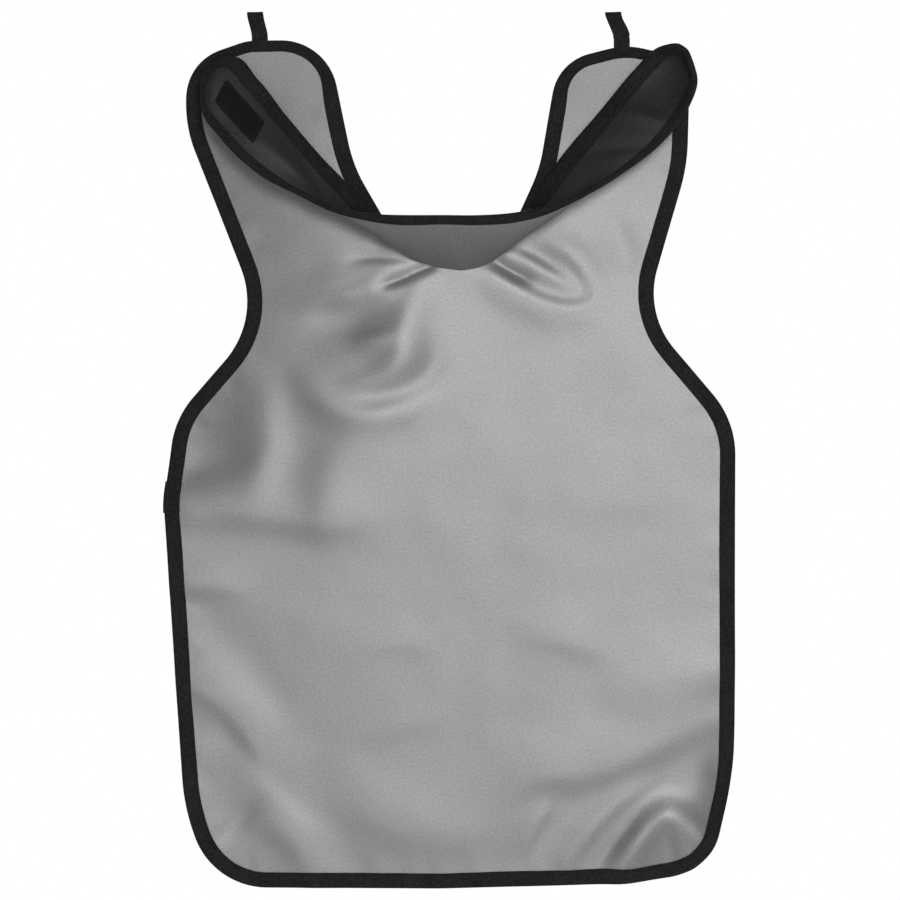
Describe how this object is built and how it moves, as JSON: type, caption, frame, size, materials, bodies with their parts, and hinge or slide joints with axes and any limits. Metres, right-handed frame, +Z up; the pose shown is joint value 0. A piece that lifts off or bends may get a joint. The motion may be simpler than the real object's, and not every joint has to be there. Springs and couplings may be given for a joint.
{
  "type": "dental x-ray apron",
  "caption": "Child-length lead-vinyl apron on two hanging loops, with taped edges, shoulder tabs and an attached neck collar that wraps and closes with touch fasteners.",
  "frame": {"origin": "on the axis of the rail through both hanging loops, above the middle of the panel", "axes": "+Z up, -Y out of the front cover towards the viewer, +X to the viewer's right"},
  "size_m": [0.4653, 0.0419, 0.713],
  "materials": {
    "grey_cloth": "satin coated weave",
    "back_cloth": "satin coated weave",
    "charcoal_lining": "soft brushed weave",
    "black_tape": "ribbed woven tape",
    "black_thread": "twisted thread",
    "lead_vinyl": "matt filled vinyl sheet",
    "hook_tape": "moulded hooks",
    "loop_tape": "brushed loops"
  },
  "bodies": {
    "panel": {"front_cover": "grey_cloth", "front_core": "lead_vinyl", "back_core": "lead_vinyl", "back_cover": "back_cloth", "edge_binding": "black_tape", "neckline_binding": "black_tape", "binding_lap": "black_tape", "panel_stitching": "black_thread"},
    "left_tab": {"left_tab_front_cover": "grey_cloth", "left_tab_core": "lead_vinyl", "left_tab_back_cover": "back_cloth", "left_tab_binding": "black_tape", "left_tab_stitching": "black_thread", "left_loop_tail": "black_tape", "left_loop_tack": "black_thread"},
    "right_tab": {"right_tab_front_cover": "grey_cloth", "right_tab_core": "lead_vinyl", "right_tab_back_cover": "back_cloth", "right_tab_binding": "black_tape", "right_tab_stitching": "black_thread", "right_loop_tail": "black_tape", "right_loop_tack": "black_thread"},
    "left_loop": {"left_loop": "black_tape"},
    "right_loop": {"right_loop": "black_tape"},
    "collar": {"collar_outer": "grey_cloth", "collar_core": "lead_vinyl", "collar_lining": "charcoal_lining", "collar_binding": "black_tape"},
    "left_wing": {"left_wing_lining": "charcoal_lining", "left_wing_core": "lead_vinyl", "left_wing_outer": "grey_cloth", "left_wing_binding": "black_tape", "hook_strip": "hook_tape", "hook_strip_stitching": "black_thread"},
    "right_wing": {"right_wing_lining": "charcoal_lining", "right_wing_core": "lead_vinyl", "right_wing_outer": "grey_cloth", "right_wing_binding": "black_tape", "loop_strip": "loop_tape", "loop_strip_stitching": "black_thread"}
  },
  "joints": [
    {"name": "left_shoulder_fold", "type": "hinge", "parent": "panel", "child": "left_tab", "pos_m": [0, 0.0034, -0.163], "axis": [-1, 0, 0], "range_deg": [0, 90]},
    {"name": "right_shoulder_fold", "type": "hinge", "parent": "panel", "child": "right_tab", "pos_m": [0, 0.0034, -0.163], "axis": [-1, 0, 0], "range_deg": [0, 90]},
    {"name": "left_loop_flop", "type": "hinge", "parent": "left_tab", "child": "left_loop", "pos_m": [-0.1575, -0.0046, -0.0175], "axis": [1, 0, 0], "range_deg": [-45, 80]},
    {"name": "right_loop_flop", "type": "hinge", "parent": "right_tab", "child": "right_loop", "pos_m": [0.135, -0.0046, -0.0195], "axis": [1, 0, 0], "range_deg": [-45, 80]},
    {"name": "collar_tilt", "type": "hinge", "parent": "panel", "child": "collar", "pos_m": [0, -0.0063, -0.199], "axis": [1, 0, 0], "range_deg": [0, 40]},
    {"name": "left_wing_wrap", "type": "hinge", "parent": "collar", "child": "left_wing", "pos_m": [-0.06, -0.012, -0.15], "axis": [-0.4899, 0, 0.8718], "range_deg": [0, 95]},
    {"name": "right_wing_wrap", "type": "hinge", "parent": "collar", "child": "right_wing", "pos_m": [0.059, -0.012, -0.15], "axis": [-0.4899, 0, -0.8718], "range_deg": [0, 95]}
  ]
}
